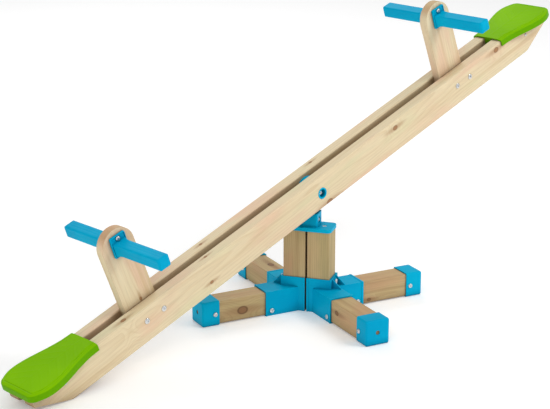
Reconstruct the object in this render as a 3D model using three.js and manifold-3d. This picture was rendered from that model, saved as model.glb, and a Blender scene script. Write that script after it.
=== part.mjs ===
// Swivelling garden seesaw: a timber beam of two rails that tilts on a turning head, on a four-armed base.
// Millimetres, +Z up. The origin is on the ground, on the swivel axis. The beam's length lies over X.
import * as THREE from 'three';
import { mergeVertices } from 'three/addons/utils/BufferGeometryUtils.js';
import Module from 'manifold-3d';

const wasm = await Module();
wasm.setup();

// ---------------------------------------------------------------- driving dimensions
const GAP = 0.3;                      // clearance between pieces that touch
const OVERCUT = 1;                    // how far a cutting tool runs past a face
const DEG = Math.PI / 180;

const BEAM_TILT = 19.25 * DEG;        // low end on the ground
const BASE_TURN = -61.6 * DEG;        // row of posts, seen from the beam's direction

// beam
const RAIL_LENGTH = 2256;
const RAIL_HEIGHT = 100;
const RAIL_THICKNESS = 40;
const RAIL_SPACING = 27;              // clear gap between the two rails
const RAIL_EDGE = 6;                  // rounding of the long edges
const PIVOT_ABOVE_EDGE = 46;          // pivot axis above the rails' lower edge
const CHAMFER_LENGTH = 120.5;         // sloped cut under each rail end
const CHAMFER_HEIGHT = 57;

// base
const POST = 70;                      // square timber of posts and feet
const POST_CORNER = 3;                // rounding of the posts' and feet's long edges
const POST_SPACING = 5;               // clear gap between the two posts
const PLATE_UNDERSIDE = 255.3;        // top of the posts, plus clearance
const FOOT_REACH = 339;               // post centre to the outer face of an end cap
const FOOT_ANGLE = 45 * DEG;

// moulded three-way brackets
const CHANNEL_WALL = 4;
const CHANNEL_HEIGHT = 107;
const SLEEVE_WIDTH = 77;
const SLEEVE_HEIGHT = 77;
const SLEEVE_REACH = 128;             // post centre to the sleeve's mouth
const OUTWARD_WALL = 6;
const WEB_THICKNESS = 5;
const WEB_OFFSET = 21;                // middle of each gusset web from the bracket's centre line
const COLLAR = { width: 6, rise: 1 }; // raised band at each sleeve's mouth and beside the gap between posts

// end caps
const CAP_WIDTH = 78;
const CAP_HEIGHT = 77.5;
const CAP_LENGTH = 56;
const CAP_END_WALL = 3;
const CAP_HOLE = 6.5;

// pivot bracket, spindle and turning head
const PLATE = { length: 153, width: 78, thickness: 11, corner: 14 };
const HOUSING = { length: 62, width: 50, top: 308, corner: 4 };
const SPINDLE_RADIUS = 8;
const SPINDLE_FOOT = { radius: 17, top: 263 };
const SPINDLE_TOP = 357;
const CROSS_BOLT = { height: 284, recess: 6, recessRadius: 10.5, head: 7.5, dome: 5 };
const CROSS_NUT = { flats: 13, height: 5 };
const LOCK_NUT = { flats: 22, height: 11 };
const THRUST_WASHER_RADIUS = 25;
const WINDOW = { bottom: 338, top: 360, half: 14 }; // opening in the head round the lock nut
const HEAD = { width: 64, arc: 41, disc: 27, discBottom: 310.3, discTop: 315 };
const PIVOT_BOLT = { radius: 6, head: 8.5, dome: 5.5 };
const PIVOT_NUT = { flats: 19, height: 7 };
const BUSH = { flange: 17.5, flangeDepth: 15, barrel: 11, recess: 12.5, recessDepth: 12, rim: 1.2 };

// handles
const HANDLE_STATION = 687;           // pivot to the middle of a handle board, along the beam
const BOARD_WIDTH = 110;
const BOARD_TOP = 296;                // above the pivot axis, along the board
const BOARD_BOTTOM = -40;
const BOARD_SHIFT = -6;               // board's middle from its station, at the height of the pivot axis
const BOARD_LEAN = -2.4 * DEG;        // both boards lean a little towards the low end
const CLAMP_BOLT = { halfPitch: 32, height: 15, head: 8.5, dome: 3.5, thread: 3.2 };
const GRIP_SHIFT = -14;               // grips' middle from the station, on the leaning board's middle line
const FLANGE = { width: 52, bottom: 217, top: 280, thickness: 8, corner: 3 };
const BAR = { width: 38, height: 36, middle: 242, corner: 3.5, bevel: 4 };
const FLARE = { length: 22, inset: 1.5, top: 262 }; // the bar widens towards the flange
const GRIP_TIP = 204;                 // beam's middle plane to the end of a grip
const GRIP_BOLT = { height: 269, head: 7, dome: 5, recess: 8.5, recessDepth: 3, spare: 5 };
const GRIP_NUT = { flats: 13, height: 6.5 };

// seats
const SEAT_INNER = 892;
const SEAT_TIP = 1138;
const SEAT_TOP = 60;
const SEAT_WALL = 4.5;
const SKIRT_BOTTOM = 38;              // lower edge of the skirt, above the pivot axis
const SEAT_TONGUE = { length: 5, bottom: 34 };
// half the width of the seat at distances from its inner end
const SEAT_PLAN = [
  [0, 58.5], [36, 60.5], [80, 70], [125, 83], [151, 89], [176, 92], [200, 90], [224, 80], [246, 66],
];

// fasteners
const BOLT_RADIUS = 4;
const SCREW_RADIUS = 2.6;
const HOLE_PLAY = 0.3;

// ---------------------------------------------------------------- worked-out places
const RAIL_BOTTOM = -PIVOT_ABOVE_EDGE;
const RAIL_TOP = RAIL_BOTTOM + RAIL_HEIGHT;
const RAIL_INNER = RAIL_SPACING / 2;
const RAIL_OUTER = RAIL_INNER + RAIL_THICKNESS;
const BOARD_THICKNESS = RAIL_SPACING - 2 * GAP;
const CHAMFER_START = RAIL_LENGTH / 2 - CHAMFER_LENGTH;
const PIVOT_HEIGHT = GAP + CHAMFER_START * Math.sin(BEAM_TILT) + PIVOT_ABOVE_EDGE * Math.cos(BEAM_TILT);
const POST_CENTRE = (POST + POST_SPACING) / 2;
const TIMBER_FLOOR = 3.5;             // underside of the feet, held up by sleeves and caps
const TIMBER_MIDDLE = TIMBER_FLOOR + POST / 2;
const PLATE_TOP = PLATE_UNDERSIDE + PLATE.thickness;

// ---------------------------------------------------------------- colours
const material = (color, roughness, metalness = 0) =>
  new THREE.MeshStandardMaterial({ color, roughness, metalness });
const PINE = material(0xdcc8a2, 0.7);
const BASE_PINE = material(0xb79f6e, 0.75);
const BLUE = material(0x0a9ccc, 0.45);
const GREEN = material(0x6fb800, 0.45);
const ZINC = material(0xd9dcdd, 0.35, 0.9);
const NYLON = material(0xe4e2da, 0.5);

// ---------------------------------------------------------------- solids
function toSolid(geometry) {
  const bare = geometry.clone();
  for (const name of Object.keys(bare.attributes)) {
    if (name !== 'position') bare.deleteAttribute(name);
  }
  const merged = mergeVertices(bare, 1e-4);
  return new wasm.Manifold(new wasm.Mesh({
    numProp: 3,
    vertProperties: new Float32Array(merged.attributes.position.array),
    triVerts: new Uint32Array(merged.index.array),
  }));
}

function toGeometry(solid) {
  const mesh = solid.getMesh();
  const geometry = new THREE.BufferGeometry();
  geometry.setAttribute('position', new THREE.BufferAttribute(mesh.vertProperties, 3));
  geometry.setIndex(new THREE.BufferAttribute(mesh.triVerts, 1));
  geometry.computeVertexNormals();
  return geometry;
}

const join = (first, ...others) =>
  toGeometry(others.reduce((sum, other) => sum.add(toSolid(other)), toSolid(first)));
const cut = (first, ...tools) =>
  toGeometry(tools.reduce((rest, tool) => rest.subtract(toSolid(tool)), toSolid(first)));

function box([x0, x1], [y0, y1], [z0, z1]) {
  const geometry = new THREE.BoxGeometry(x1 - x0, y1 - y0, z1 - z0);
  return geometry.translate((x0 + x1) / 2, (y0 + y1) / 2, (z0 + z1) / 2);
}

const X = new THREE.Vector3(1, 0, 0);
const Y = new THREE.Vector3(0, 1, 0);
const Z = new THREE.Vector3(0, 0, 1);
const at = (x, y, z) => new THREE.Vector3(x, y, z);

// turns a shape built along +Z so that it runs along the given direction from the given point
function aim(geometry, from, direction) {
  const turn = new THREE.Quaternion().setFromUnitVectors(Z, direction.clone().normalize());
  return geometry.applyQuaternion(turn).translate(from.x, from.y, from.z);
}

// solid of revolution about +Z from [radius, height] points that start and end on the axis
function turned(points, segments = 16) {
  const profile = points.map(([r, h]) => new THREE.Vector2(r, h));
  return new THREE.LatheGeometry(profile, segments).rotateX(Math.PI / 2);
}

function rod(radius, from, to, segments = 16) {
  const direction = to.clone().sub(from);
  const length = direction.length();
  const bar = turned([[0, 0], [radius, 0], [radius, length], [0, length]], segments);
  return aim(bar, from, direction);
}

// rod of the given radius along Y, centred on the given place, to cut a hole right through
function holeAlongY(radius, x, z, halfLength) {
  return rod(radius + HOLE_PLAY, at(x, -halfLength, z), at(x, halfLength, z), 12);
}

// skin over rings with equal numbers of points, each one anticlockwise seen from above
function loft(rings) {
  const count = rings[0].length;
  const index = [];
  for (let ring = 0; ring < rings.length - 1; ring += 1) {
    for (let point = 0; point < count; point += 1) {
      const [here, after] = [ring * count + point, ring * count + (point + 1) % count];
      index.push(here, after, after + count, here, after + count, here + count);
    }
  }
  const last = (rings.length - 1) * count;
  for (let point = 1; point < count - 1; point += 1) {
    index.push(0, point + 1, point, last, last + point, last + point + 1);
  }
  const geometry = new THREE.BufferGeometry();
  geometry.setAttribute('position', new THREE.Float32BufferAttribute(rings.flat(2), 3));
  geometry.setIndex(index);
  return geometry;
}

// extruded plan outline between two heights
function slab(shape, z0, z1, curveSegments = 8) {
  const geometry = new THREE.ExtrudeGeometry(shape, { depth: z1 - z0, bevelEnabled: false, curveSegments });
  return geometry.translate(0, 0, z0);
}

// outline drawn in the (x, z) plane and extruded from y0 to y1
function upright(shape, y0, y1, curveSegments = 8) {
  const geometry = new THREE.ExtrudeGeometry(shape, { depth: y1 - y0, bevelEnabled: false, curveSegments });
  return geometry.rotateX(Math.PI / 2).translate(0, y1, 0);
}

function polygon(points) {
  return new THREE.Shape(points.map(([x, y]) => new THREE.Vector2(x, y)));
}

function roundedRectangle(width, height, radius) {
  const [x, y] = [width / 2, height / 2];
  const shape = new THREE.Shape();
  shape.moveTo(-x + radius, -y);
  shape.lineTo(x - radius, -y);
  shape.absarc(x - radius, -y + radius, radius, -Math.PI / 2, 0);
  shape.lineTo(x, y - radius);
  shape.absarc(x - radius, y - radius, radius, 0, Math.PI / 2);
  shape.lineTo(-x + radius, y);
  shape.absarc(-x + radius, y - radius, radius, Math.PI / 2, Math.PI);
  shape.lineTo(-x, -y + radius);
  shape.absarc(-x + radius, -y + radius, radius, Math.PI, 1.5 * Math.PI);
  return shape;
}

// ---------------------------------------------------------------- fasteners
// domed screw: the head's seat is at `from`, the shank runs along -direction
function domedScrew(from, direction, headRadius, headHeight, shankRadius, shankLength) {
  const profile = [
    [0, -shankLength],
    [shankRadius, -shankLength + shankRadius],
    [shankRadius, 0],
    [headRadius, 0],
    [headRadius * 0.92, headHeight * 0.5],
    [headRadius * 0.6, headHeight * 0.88],
    [0, headHeight],
  ];
  return aim(turned(profile, 14), from, direction);
}

function countersunkScrew(from, headRadius, headDepth, shankRadius, length) {
  const profile = [
    [0, -length],
    [shankRadius, -length + shankRadius],
    [shankRadius, -headDepth],
    [headRadius, -0.6],
    [headRadius, 0],
    [0, 0],
  ];
  return aim(turned(profile, 14), from, Z);
}

function hexNut(from, direction, acrossFlats, height, boreRadius) {
  const corner = acrossFlats / 2 / Math.cos(30 * DEG);
  const blank = turned([[0, 0], [corner, 0], [corner, height], [0, height]], 6);
  const bore = rod(boreRadius, at(0, 0, -1), at(0, 0, height + 1), 14);
  return aim(cut(blank, bore), from, direction);
}

// domed cap nut, open at its seat
function capNut(from, direction, radius, height, boreRadius, boreDepth) {
  const profile = [
    [0, boreDepth],
    [boreRadius, boreDepth],
    [boreRadius, 0],
    [radius, 0],
    [radius * 0.94, height * 0.5],
    [radius * 0.62, height * 0.88],
    [0, height],
  ];
  return aim(turned(profile, 14), from, direction);
}

// ---------------------------------------------------------------- scene graph helpers
const group = new THREE.Group();

function add(parent, name, geometry, mat) {
  const mesh = new THREE.Mesh(geometry, mat);
  mesh.name = name;
  parent.add(mesh);
}

// ---------------------------------------------------------------- base
const FEET = [
  { name: 'rear_right', post: 1, angle: FOOT_ANGLE, screwSide: -1 },
  { name: 'front_right', post: 1, angle: -FOOT_ANGLE, screwSide: -1 },
  { name: 'front_left', post: -1, angle: FOOT_ANGLE + Math.PI, screwSide: 1 },
  { name: 'rear_left', post: -1, angle: Math.PI - FOOT_ANGLE, screwSide: 1 },
];
const SLEEVE_BOLT = { along: 108, height: 16, radius: 3, head: 7.5, dome: 4.5, nutDepth: 10 };
const CAP_SCREW = { inset: 14, height: 36, head: 7, dome: 4, length: 24 };
const CHANNEL_SCREW = { height: 93, head: 8, dome: 5.5, length: 34, boss: 12, bossRise: 5 };
const PLATE_SCREW = { along: 47, head: 6.5, depth: 5, length: 50 };
const FOOT_START = POST / 2 * Math.SQRT2 + 3.5;  // the feet begin clear of the post's corner
const SLEEVE_BORE = POST + 2 * GAP;

function post(side) {
  const shape = roundedRectangle(POST, POST, POST_CORNER);
  const timber = slab(shape, 0, PLATE_UNDERSIDE - GAP, 1);
  const wallScrew = rod(
    SCREW_RADIUS + HOLE_PLAY,
    at(POST / 2 - CHANNEL_SCREW.length, 0, CHANNEL_SCREW.height),
    at(POST / 2 + OVERCUT, 0, CHANNEL_SCREW.height), 10);
  const plateScrewX = PLATE_SCREW.along - POST_CENTRE;
  const plateScrew = rod(
    SCREW_RADIUS + HOLE_PLAY,
    at(plateScrewX, 0, PLATE_TOP - PLATE_SCREW.length - 2),
    at(plateScrewX, 0, PLATE_TOP), 10);
  return { name: `post_${side}`, geometry: cut(timber, wallScrew, plateScrew) };
}

// Three-sided channel round the post with two sleeves at 45 degrees, in the post's own frame, outward = +X.
function threeWayBracket() {
  const half = POST / 2;
  const wall = half + GAP + CHANNEL_WALL;
  const outward = half + GAP + OUTWARD_WALL;
  const openSide = -POST_CENTRE + POST_SPACING / 2 + GAP;
  const band = wall + COLLAR.rise;
  const body = [
    box([openSide, outward], [-wall, wall], [0, CHANNEL_HEIGHT]),
    box([openSide, openSide + COLLAR.width], [-band, band], [0, CHANNEL_HEIGHT]),
  ];
  const hollows = [
    box([openSide - OVERCUT, half + GAP], [-half - GAP, half + GAP], [-OVERCUT, CHANNEL_HEIGHT + OVERCUT]),
  ];
  for (const turn of [-FOOT_ANGLE, FOOT_ANGLE]) {
    const width = SLEEVE_WIDTH / 2;
    const collar = width + COLLAR.rise;
    body.push(
      box([0, SLEEVE_REACH], [-width, width], [0, SLEEVE_HEIGHT]).rotateZ(turn),
      box([SLEEVE_REACH - COLLAR.width, SLEEVE_REACH], [-collar, collar], [0, SLEEVE_HEIGHT + COLLAR.rise])
        .rotateZ(turn));
    const bore = SLEEVE_BORE / 2;
    const floor = TIMBER_FLOOR - GAP;
    hollows.push(
      box([FOOT_START - GAP, SLEEVE_REACH + OVERCUT], [-bore, bore], [floor, floor + SLEEVE_BORE])
        .rotateZ(turn));
    const { along, height, radius } = SLEEVE_BOLT;
    hollows.push(holeAlongY(radius, along, height, SLEEVE_WIDTH).rotateZ(turn));
  }
  const webRun = CHANNEL_HEIGHT - SLEEVE_HEIGHT;
  for (const side of [-1, 1]) {
    const web = polygon([
      [outward - 1, SLEEVE_HEIGHT - 1],
      [outward + webRun, SLEEVE_HEIGHT - 1],
      [outward + webRun, SLEEVE_HEIGHT],
      [outward, CHANNEL_HEIGHT],
      [outward - 1, CHANNEL_HEIGHT],
    ]);
    const middle = side * WEB_OFFSET;
    body.push(upright(web, middle - WEB_THICKNESS / 2, middle + WEB_THICKNESS / 2));
  }
  const { height, boss, bossRise } = CHANNEL_SCREW;
  const screwSeat = outward + bossRise;
  body.push(rod(boss, at(outward - 1, 0, height), at(screwSeat, 0, height), 18));
  hollows.push(rod(
    SCREW_RADIUS + HOLE_PLAY, at(half - OVERCUT, 0, height), at(screwSeat + OVERCUT, 0, height), 10));
  return { geometry: cut(join(...body), ...hollows), screwSeat };
}

// foot beam in the arm's frame: along +X from the post's centre
function footBeam(screwSide) {
  const end = FOOT_REACH - CAP_END_WALL - GAP;
  const shape = roundedRectangle(POST, POST, POST_CORNER);
  const timber = slab(shape, FOOT_START, end, 1)
    .rotateY(Math.PI / 2)
    .translate(0, 0, TIMBER_MIDDLE);
  const { along, height, radius } = SLEEVE_BOLT;
  const boltHole = holeAlongY(radius, along, height, SLEEVE_WIDTH);
  const screwX = FOOT_REACH - CAP_LENGTH + CAP_SCREW.inset;
  const screwHole = rod(
    SCREW_RADIUS + HOLE_PLAY,
    at(screwX, screwSide * (CAP_WIDTH / 2 - CAP_SCREW.length - 1), CAP_SCREW.height),
    at(screwX, screwSide * CAP_WIDTH, CAP_SCREW.height), 10);
  return cut(timber, boltHole, screwHole);
}

function endCap(screwSide) {
  const width = CAP_WIDTH / 2;
  const inner = FOOT_REACH - CAP_LENGTH;
  const shell = box([inner, FOOT_REACH], [-width, width], [0, CAP_HEIGHT]);
  const bore = SLEEVE_BORE / 2;
  const floor = TIMBER_FLOOR - GAP;
  const hollow = box(
    [inner - OVERCUT, FOOT_REACH - CAP_END_WALL], [-bore, bore], [floor, floor + SLEEVE_BORE]);
  const endHole = rod(
    CAP_HOLE, at(FOOT_REACH - CAP_END_WALL - OVERCUT, 0, TIMBER_MIDDLE),
    at(FOOT_REACH + OVERCUT, 0, TIMBER_MIDDLE), 18);
  const screwX = inner + CAP_SCREW.inset;
  const screwHole = rod(
    SCREW_RADIUS + HOLE_PLAY,
    at(screwX, screwSide * (bore - OVERCUT), CAP_SCREW.height),
    at(screwX, screwSide * (width + OVERCUT), CAP_SCREW.height), 10);
  return cut(shell, hollow, endHole, screwHole);
}

// through bolt low in the sleeve, with its cap nut on the other side
function sleeveBolt() {
  const { along, height, radius, head, dome, nutDepth } = SLEEVE_BOLT;
  const seat = SLEEVE_WIDTH / 2 + GAP;
  const bolt = domedScrew(at(along, -seat, height), Y.clone().negate(), head, dome, radius, 2 * seat);
  const nut = domedScrew(at(along, seat, height), Y, head, dome, radius, nutDepth);
  return join(bolt, nut);
}

function capScrew(screwSide) {
  const { inset, height, head, dome, length } = CAP_SCREW;
  const seat = at(FOOT_REACH - CAP_LENGTH + inset, screwSide * (CAP_WIDTH / 2 + GAP), height);
  return domedScrew(seat, Y.clone().multiplyScalar(screwSide), head, dome, SCREW_RADIUS, length);
}

// plate on the post tops with the upright housing that holds the spindle, in one moulding
function pivotBracket() {
  const plateOutline = roundedRectangle(PLATE.length, PLATE.width, PLATE.corner);
  const plate = slab(plateOutline, PLATE_UNDERSIDE, PLATE_TOP, 5);
  const outline = roundedRectangle(HOUSING.length, HOUSING.width, HOUSING.corner);
  const housing = slab(outline, PLATE_TOP - 1, HOUSING.top, 2);
  const below = PLATE_UNDERSIDE - OVERCUT;
  const tools = [
    rod(SPINDLE_RADIUS + HOLE_PLAY, at(0, 0, below), at(0, 0, HOUSING.top + OVERCUT)),
    rod(SPINDLE_FOOT.radius + HOLE_PLAY, at(0, 0, below), at(0, 0, SPINDLE_FOOT.top + GAP)),
    rod(
      BOLT_RADIUS + HOLE_PLAY, at(-HOUSING.length, 0, CROSS_BOLT.height),
      at(HOUSING.length, 0, CROSS_BOLT.height), 10),
  ];
  for (const side of [-1, 1]) {
    const outside = side * (HOUSING.length / 2 + OVERCUT);
    const floor = side * (HOUSING.length / 2 - CROSS_BOLT.recess);
    const { recessRadius, height } = CROSS_BOLT;
    tools.push(rod(recessRadius, at(floor, 0, height), at(outside, 0, height), 14));
    const sink = countersunkScrew(
      at(side * PLATE_SCREW.along, 0, PLATE_TOP + 0.1),
      PLATE_SCREW.head + 1, PLATE_SCREW.depth + 0.6, SCREW_RADIUS + HOLE_PLAY, PLATE_SCREW.length);
    tools.push(sink);
  }
  return cut(join(plate, housing), ...tools);
}

function spindle() {
  const body = turned([
    [0, PLATE_UNDERSIDE],
    [SPINDLE_FOOT.radius, PLATE_UNDERSIDE],
    [SPINDLE_FOOT.radius, SPINDLE_FOOT.top],
    [SPINDLE_RADIUS, SPINDLE_FOOT.top],
    [SPINDLE_RADIUS, SPINDLE_TOP],
    [0, SPINDLE_TOP],
  ]);
  const cross = rod(
    BOLT_RADIUS + HOLE_PLAY, at(-SPINDLE_FOOT.radius, 0, CROSS_BOLT.height),
    at(SPINDLE_FOOT.radius, 0, CROSS_BOLT.height), 12);
  return cut(body, cross);
}

function crossBolt() {
  const seat = HOUSING.length / 2 - CROSS_BOLT.recess + GAP;
  const far = HOUSING.length / 2 - 0.5;
  const { height, head, dome } = CROSS_BOLT;
  return domedScrew(at(seat, 0, height), X, head, dome, BOLT_RADIUS, seat + far);
}

function thrustWasher() {
  const disc = rod(THRUST_WASHER_RADIUS, at(0, 0, HOUSING.top + GAP), at(0, 0, HEAD.discBottom - GAP), 18);
  return cut(disc, rod(SPINDLE_RADIUS + HOLE_PLAY, at(0, 0, HOUSING.top), at(0, 0, HEAD.discBottom)));
}

function buildBase() {
  const base = new THREE.Group();
  base.rotation.z = BASE_TURN;
  group.add(base);
  for (const [side, sign] of [['right', 1], ['left', -1]]) {
    const half = new THREE.Group();
    half.position.x = sign * POST_CENTRE;
    half.rotation.z = sign > 0 ? 0 : Math.PI;
    base.add(half);
    const { name, geometry } = post(side);
    add(half, name, geometry, BASE_PINE);
    const bracket = threeWayBracket();
    add(half, `bracket_${side}`, bracket.geometry, BLUE);
    const seat = at(bracket.screwSeat + GAP, 0, CHANNEL_SCREW.height);
    const screw = domedScrew(
      seat, X, CHANNEL_SCREW.head, CHANNEL_SCREW.dome, SCREW_RADIUS, CHANNEL_SCREW.length);
    add(half, `bracket_screw_${side}`, screw, ZINC);
    const plateScrew = countersunkScrew(
      at(PLATE_SCREW.along - POST_CENTRE, 0, PLATE_TOP - 0.6),
      PLATE_SCREW.head, PLATE_SCREW.depth, SCREW_RADIUS, PLATE_SCREW.length - 2);
    add(half, `plate_screw_${side}`, plateScrew, ZINC);
  }
  for (const foot of FEET) {
    const arm = new THREE.Group();
    arm.position.x = foot.post * POST_CENTRE;
    arm.rotation.z = foot.angle;
    base.add(arm);
    add(arm, `foot_beam_${foot.name}`, footBeam(foot.screwSide), BASE_PINE);
    add(arm, `end_cap_${foot.name}`, endCap(foot.screwSide), BLUE);
    add(arm, `sleeve_bolt_${foot.name}`, sleeveBolt(), ZINC);
    add(arm, `cap_screw_${foot.name}`, capScrew(foot.screwSide), ZINC);
  }
  add(base, 'pivot_bracket', pivotBracket(), BLUE);
  add(base, 'swivel_spindle', spindle(), ZINC);
  add(base, 'spindle_cross_bolt', crossBolt(), ZINC);
  const nutSeat = at(-HOUSING.length / 2 + CROSS_BOLT.recess - GAP, 0, CROSS_BOLT.height);
  const crossNut = hexNut(
    nutSeat, X.clone().negate(), CROSS_NUT.flats, CROSS_NUT.height, BOLT_RADIUS + HOLE_PLAY);
  add(base, 'spindle_cross_nut', crossNut, ZINC);
  add(base, 'thrust_washer', thrustWasher(), NYLON);
  const lockNut = hexNut(
    at(0, 0, WINDOW.bottom + 1), Z, LOCK_NUT.flats, LOCK_NUT.height, SPINDLE_RADIUS + HOLE_PLAY);
  add(base, 'spindle_lock_nut', lockNut, ZINC);
}

// ---------------------------------------------------------------- turning head
function swivelHead() {
  const half = HEAD.width / 2;
  const shoulder = Math.acos(half / HEAD.arc);
  const outline = new THREE.Shape();
  outline.moveTo(-half, HEAD.discTop - 1);
  outline.lineTo(half, HEAD.discTop - 1);
  outline.lineTo(half, PIVOT_HEIGHT + HEAD.arc * Math.sin(shoulder));
  outline.absarc(0, PIVOT_HEIGHT, HEAD.arc, shoulder, Math.PI - shoulder);
  const tongue = upright(outline, -BOARD_THICKNESS / 2, BOARD_THICKNESS / 2, 12);
  const disc = rod(HEAD.disc, at(0, 0, HEAD.discBottom), at(0, 0, HEAD.discTop), 20);
  const spindleBore = rod(SPINDLE_RADIUS + HOLE_PLAY, at(0, 0, HOUSING.top), at(0, 0, WINDOW.bottom + 1));
  const { half: windowHalf, bottom, top } = WINDOW;
  const window = box([-windowHalf, windowHalf], [-BOARD_THICKNESS, BOARD_THICKNESS], [bottom, top]);
  const boltBore = holeAlongY(PIVOT_BOLT.radius, 0, PIVOT_HEIGHT, BOARD_THICKNESS);
  return cut(join(tongue, disc), spindleBore, window, boltBore);
}

// ---------------------------------------------------------------- beam
function rail(side) {
  const length = RAIL_LENGTH / 2;
  const middle = (RAIL_BOTTOM + RAIL_TOP) / 2;
  const section = roundedRectangle(RAIL_HEIGHT, RAIL_THICKNESS, RAIL_EDGE);
  const stock = slab(section, -length, length, 3)
    .rotateY(Math.PI / 2)
    .translate(0, side * (RAIL_INNER + RAIL_THICKNESS / 2), middle);
  const tools = [];
  const reach = RAIL_OUTER + OVERCUT;
  for (const end of [-1, 1]) {
    const wedge = polygon([
      [end * CHAMFER_START, RAIL_BOTTOM],
      [end * (length + OVERCUT), RAIL_BOTTOM + CHAMFER_HEIGHT * (1 + OVERCUT / CHAMFER_LENGTH)],
      [end * (length + OVERCUT), RAIL_BOTTOM - OVERCUT],
      [end * CHAMFER_START, RAIL_BOTTOM - OVERCUT],
    ]);
    tools.push(upright(wedge, -reach, reach));
    for (const boltX of clampBoltPlaces(end)) {
      tools.push(holeAlongY(BOLT_RADIUS, boltX, CLAMP_BOLT.height, reach));
    }
  }
  const face = side * reach;
  const step = side * (RAIL_OUTER - BUSH.flangeDepth - GAP);
  tools.push(rod(BUSH.barrel + HOLE_PLAY, at(0, 0, 0), at(0, face, 0), 18));
  tools.push(rod(BUSH.flange + HOLE_PLAY, at(0, step, 0), at(0, face, 0), 18));
  return cut(stock, ...tools);
}

const clampBoltPlaces = (end) =>
  [-1, 1].map((step) => end * HANDLE_STATION + step * CLAMP_BOLT.halfPitch);

function handleBoard(end) {
  const half = BOARD_WIDTH / 2;
  const station = end * HANDLE_STATION;
  const outline = new THREE.Shape();
  outline.moveTo(-half, BOARD_BOTTOM);
  outline.lineTo(half, BOARD_BOTTOM);
  outline.lineTo(half, BOARD_TOP - half);
  outline.absarc(0, BOARD_TOP - half, half, 0, Math.PI);
  const board = upright(outline, -BOARD_THICKNESS / 2, BOARD_THICKNESS / 2, 20)
    .rotateY(BOARD_LEAN)
    .translate(station + BOARD_SHIFT, 0, 0);
  const holes = clampBoltPlaces(end).map((x) => [x, CLAMP_BOLT.height]);
  holes.push([station + GRIP_SHIFT, GRIP_BOLT.height]);
  return cut(board, ...holes.map(([x, z]) => holeAlongY(BOLT_RADIUS, x, z, BOARD_THICKNESS)));
}

// rectangle with cut corners at height z, its middle line on x = 0
function barRing(width, low, high, corner, z) {
  const [x, inner] = [width / 2, width / 2 - corner];
  const points = [
    [-inner, low], [inner, low], [x, low + corner], [x, high - corner],
    [inner, high], [-inner, high], [-x, high - corner], [-x, low + corner],
  ];
  return points.map(([px, py]) => [px, py, z]);
}

// flange plate and a flared bar with cut corners, on one side of a handle board
function grip(end, side) {
  const inner = BOARD_THICKNESS / 2 + GAP;
  const outer = inner + FLANGE.thickness;
  const middle = (FLANGE.top + FLANGE.bottom) / 2;
  const plateShape = roundedRectangle(FLANGE.width, FLANGE.top - FLANGE.bottom, FLANGE.corner);
  const plate = slab(plateShape, inner, outer, 2);
  const [low, high] = [BAR.middle - BAR.height / 2 - middle, BAR.middle + BAR.height / 2 - middle];
  const root = [FLANGE.width - 2 * FLARE.inset, FLANGE.bottom + FLARE.inset - middle, FLARE.top - middle];
  const bar = loft([
    barRing(...root, BAR.corner, outer - 1),
    barRing(...root, BAR.corner, outer + 1),
    barRing(BAR.width, low, high, BAR.corner, outer + FLARE.length),
    barRing(BAR.width, low, high, BAR.corner, GRIP_TIP - BAR.bevel),
    barRing(BAR.width - 2 * BAR.bevel, low + BAR.bevel, high - BAR.bevel, BAR.corner, GRIP_TIP),
  ]);
  const boltLift = GRIP_BOLT.height - middle;
  const bolt = rod(
    BOLT_RADIUS + HOLE_PLAY, at(0, boltLift, inner - OVERCUT), at(0, boltLift, outer + OVERCUT), 12);
  const recess = rod(
    GRIP_BOLT.recess, at(0, boltLift, outer - GRIP_BOLT.recessDepth),
    at(0, boltLift, outer + FLARE.length), 16);
  // built with +Z away from the board and +Y up along it
  const shaped = cut(join(plate, bar), bolt, recess).rotateX(Math.PI / 2);
  if (side > 0) shaped.rotateZ(Math.PI);
  return shaped.translate(end * HANDLE_STATION + GRIP_SHIFT, 0, middle);
}

function clampBolt(x) {
  const seat = RAIL_OUTER + GAP;
  const { head, dome, thread } = CLAMP_BOLT;
  return domedScrew(
    at(x, -seat, CLAMP_BOLT.height), Y.clone().negate(), head, dome, BOLT_RADIUS, 2 * seat + thread);
}

function clampNut(x) {
  const { head, thread } = CLAMP_BOLT;
  const place = at(x, RAIL_OUTER + GAP, CLAMP_BOLT.height);
  return capNut(place, Y, head, thread + 3, BOLT_RADIUS + HOLE_PLAY, thread + GAP);
}

function pivotBush(side) {
  const { flange, flangeDepth, barrel, recess, recessDepth, rim } = BUSH;
  const bore = PIVOT_BOLT.radius + 0.1;
  const inside = RAIL_INNER + GAP;
  const profile = [
    [bore, inside],
    [barrel, inside],
    [barrel, RAIL_OUTER - flangeDepth],
    [flange, RAIL_OUTER - flangeDepth],
    [flange, RAIL_OUTER],
    [flange - 2, RAIL_OUTER + rim],
    [recess, RAIL_OUTER + rim],
    [recess, RAIL_OUTER - recessDepth],
    [bore, RAIL_OUTER - recessDepth],
    [bore, inside],
  ];
  return aim(turned(profile, 18), at(0, 0, 0), Y.clone().multiplyScalar(side));
}

function pivotBolt() {
  const seat = RAIL_OUTER - BUSH.recessDepth + GAP;
  const { radius, head, dome } = PIVOT_BOLT;
  return domedScrew(at(0, -seat, 0), Y.clone().negate(), head, dome, radius, 2 * seat + PIVOT_NUT.height + 2);
}

function seatOutline(end, inset, innerEnd) {
  const points = SEAT_PLAN.map(([x, y]) => [Math.min(SEAT_INNER + x, SEAT_TIP - inset), y - inset]);
  points[0][0] = innerEnd;
  const loop = [...points, ...points.map(([x, y]) => [x, -y]).reverse()];
  return polygon(loop.map(([x, y]) => [end * x, y]));
}

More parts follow.
